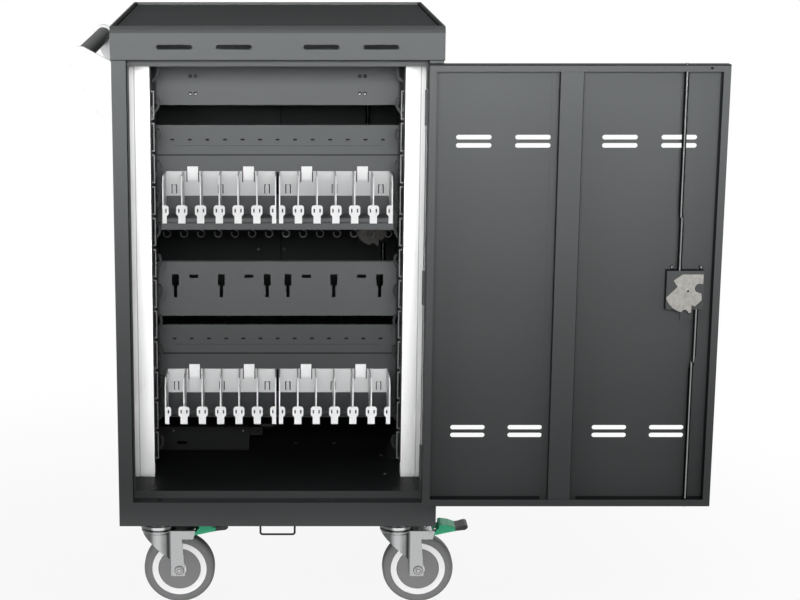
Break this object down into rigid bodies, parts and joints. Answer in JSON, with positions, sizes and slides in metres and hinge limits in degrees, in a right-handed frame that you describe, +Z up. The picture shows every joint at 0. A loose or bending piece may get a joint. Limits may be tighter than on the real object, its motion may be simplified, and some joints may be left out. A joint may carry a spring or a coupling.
{
  "type": "laptop charging cart",
  "caption": "Steel charging cabinet on braked swivel casters, with comb modules for adapters in front, wire dividers for laptops behind, and full doors with rod locks",
  "frame": {"origin": "on the floor, under the centre of the cabinet body", "axes": "+X to the right as seen from the adapter side, +Y towards the device side at the back, +Z up"},
  "size_m": [1.108, 0.6414, 1.04],
  "materials": {
    "charcoal_powder_coat": "satin",
    "dark_wire_coating": "satin",
    "white_powder_coat": "satin",
    "post_aluminium": "satin",
    "black_moulding": "matte",
    "white_moulding": "matte",
    "handle_sleeve": "matte",
    "zinc": "satin",
    "cam_steel": "satin",
    "rod_steel": "satin",
    "grey_tread": "matte",
    "wheel_centre": "matte",
    "wheel_cover": "matte",
    "green_lever": "matte"
  },
  "bodies": {
    "cabinet": {"front_frame": "charcoal_powder_coat", "rear_frame": "charcoal_powder_coat", "left_side_panel": "charcoal_powder_coat", "right_side_panel": "charcoal_powder_coat", "base_pan": "charcoal_powder_coat", "top_cap": "charcoal_powder_coat", "front_posts": "post_aluminium", "cable_guides": "black_moulding", "upper_panel": "charcoal_powder_coat", "partitions": "charcoal_powder_coat", "slot_panel": "charcoal_powder_coat", "upper_back_panel": "charcoal_powder_coat", "lower_back_panel": "charcoal_powder_coat", "upper_shelf": "charcoal_powder_coat", "lower_shelf": "charcoal_powder_coat", "upper_modules": "white_moulding", "lower_modules": "white_moulding", "device_dividers": "dark_wire_coating", "power_box": "charcoal_powder_coat", "power_inlet": "black_moulding", "outlet_strips": "black_moulding", "anchor_loop": "dark_wire_coating", "handle_brackets": "white_powder_coat", "handle_tube": "handle_sleeve", "frame_hinges": "charcoal_powder_coat", "caster_mounts": "zinc"},
    "front_door": {"front_door_panel": "charcoal_powder_coat", "front_door_stiffener": "charcoal_powder_coat", "front_door_hinges": "charcoal_powder_coat", "front_lock_box": "charcoal_powder_coat"},
    "front_lock": {"front_latch": "cam_steel"},
    "front_rod_up": {"front_upper_rod": "rod_steel"},
    "front_rod_down": {"front_lower_rod": "rod_steel"},
    "rear_door": {"rear_door_panel": "charcoal_powder_coat", "rear_door_stiffener": "charcoal_powder_coat", "rear_door_hinges": "charcoal_powder_coat", "rear_lock_box": "charcoal_powder_coat"},
    "rear_lock": {"rear_latch": "cam_steel"},
    "rear_rod_up": {"rear_upper_rod": "rod_steel"},
    "rear_rod_down": {"rear_lower_rod": "rod_steel"},
    "front_left_caster": {"front_left_fork": "zinc"},
    "front_left_wheel": {"front_left_tyre": "grey_tread", "front_left_core": "wheel_centre", "front_left_caps": "wheel_cover"},
    "front_left_brake": {"front_left_pedal": "green_lever"},
    "front_right_caster": {"front_right_fork": "zinc"},
    "front_right_wheel": {"front_right_tyre": "grey_tread", "front_right_core": "wheel_centre", "front_right_caps": "wheel_cover"},
    "front_right_brake": {"front_right_pedal": "green_lever"},
    "rear_left_caster": {"rear_left_fork": "zinc"},
    "rear_left_wheel": {"rear_left_tyre": "grey_tread", "rear_left_core": "wheel_centre", "rear_left_caps": "wheel_cover"},
    "rear_left_brake": {"rear_left_pedal": "green_lever"},
    "rear_right_caster": {"rear_right_fork": "zinc"},
    "rear_right_wheel": {"rear_right_tyre": "grey_tread", "rear_right_core": "wheel_centre", "rear_right_caps": "wheel_cover"},
    "rear_right_brake": {"rear_right_pedal": "green_lever"}
  },
  "joints": [
    {"name": "front_door_hinge", "type": "hinge", "parent": "cabinet", "child": "front_door", "pos_m": [0.2525, -0.2995, 0.5935], "axis": [0, 0, 1], "range_deg": [-180, 0]},
    {"name": "front_lock_turn", "type": "hinge", "parent": "front_door", "child": "front_lock", "pos_m": [0.7005, -0.318, 0.5935], "axis": [0, 1, 0], "range_deg": [0, 90]},
    {"name": "front_rod_up_slide", "type": "slide", "parent": "front_door", "child": "front_rod_up", "axis": [0, 0, 1], "range_m": [0, 0.01728]},
    {"name": "front_rod_down_slide", "type": "slide", "parent": "front_door", "child": "front_rod_down", "axis": [0, 0, -1], "range_m": [0, 0.01728]},
    {"name": "rear_door_hinge", "type": "hinge", "parent": "cabinet", "child": "rear_door", "pos_m": [-0.2525, 0.2995, 0.5935], "axis": [0, 0, 1], "range_deg": [0, 180]},
    {"name": "rear_lock_turn", "type": "hinge", "parent": "rear_door", "child": "rear_lock", "pos_m": [0.1955, 0.281, 0.5935], "axis": [0, 1, 0], "range_deg": [0, 90]},
    {"name": "rear_rod_up_slide", "type": "slide", "parent": "rear_door", "child": "rear_rod_up", "axis": [0, 0, 1], "range_m": [0, 0.01728]},
    {"name": "rear_rod_down_slide", "type": "slide", "parent": "rear_door", "child": "rear_rod_down", "axis": [0, 0, -1], "range_m": [0, 0.01728]},
    {"name": "front_left_swivel", "type": "hinge", "parent": "cabinet", "child": "front_left_caster", "pos_m": [-0.215, -0.235, 0.139], "axis": [0, 0, 1], "continuous": true},
    {"name": "front_left_wheel_spin", "type": "hinge", "parent": "front_left_caster", "child": "front_left_wheel", "pos_m": [-0.177, -0.235, 0.0635], "axis": [0, 1, 0], "continuous": true},
    {"name": "front_left_brake_press", "type": "hinge", "parent": "front_left_caster", "child": "front_left_brake", "pos_m": [-0.155, -0.235, 0.131], "axis": [0, 1, 0], "range_deg": [0, 15]},
    {"name": "front_right_swivel", "type": "hinge", "parent": "cabinet", "child": "front_right_caster", "pos_m": [0.215, -0.235, 0.139], "axis": [0, 0, 1], "continuous": true},
    {"name": "front_right_wheel_spin", "type": "hinge", "parent": "front_right_caster", "child": "front_right_wheel", "pos_m": [0.253, -0.235, 0.0635], "axis": [0, 1, 0], "continuous": true},
    {"name": "front_right_brake_press", "type": "hinge", "parent": "front_right_caster", "child": "front_right_brake", "pos_m": [0.275, -0.235, 0.131], "axis": [0, 1, 0], "range_deg": [0, 15]},
    {"name": "rear_left_swivel", "type": "hinge", "parent": "cabinet", "child": "rear_left_caster", "pos_m": [-0.215, 0.235, 0.139], "axis": [0, 0, 1], "continuous": true},
    {"name": "rear_left_wheel_spin", "type": "hinge", "parent": "rear_left_caster", "child": "rear_left_wheel", "pos_m": [-0.177, 0.235, 0.0635], "axis": [0, 1, 0], "continuous": true},
    {"name": "rear_left_brake_press", "type": "hinge", "parent": "rear_left_caster", "child": "rear_left_brake", "pos_m": [-0.155, 0.235, 0.131], "axis": [0, 1, 0], "range_deg": [0, 15]},
    {"name": "rear_right_swivel", "type": "hinge", "parent": "cabinet", "child": "rear_right_caster", "pos_m": [0.215, 0.235, 0.139], "axis": [0, 0, 1], "continuous": true},
    {"name": "rear_right_wheel_spin", "type": "hinge", "parent": "rear_right_caster", "child": "rear_right_wheel", "pos_m": [0.253, 0.235, 0.0635], "axis": [0, 1, 0], "continuous": true},
    {"name": "rear_right_brake_press", "type": "hinge", "parent": "rear_right_caster", "child": "rear_right_brake", "pos_m": [0.275, 0.235, 0.131], "axis": [0, 1, 0], "range_deg": [0, 15]}
  ],
  "couplings": [
    {"joint": "front_rod_up_slide", "follows": "front_lock_turn", "m_per_rad": 0.011},
    {"joint": "front_rod_down_slide", "follows": "front_lock_turn", "m_per_rad": 0.011},
    {"joint": "rear_rod_up_slide", "follows": "rear_lock_turn", "m_per_rad": 0.011},
    {"joint": "rear_rod_down_slide", "follows": "rear_lock_turn", "m_per_rad": 0.011}
  ]
}
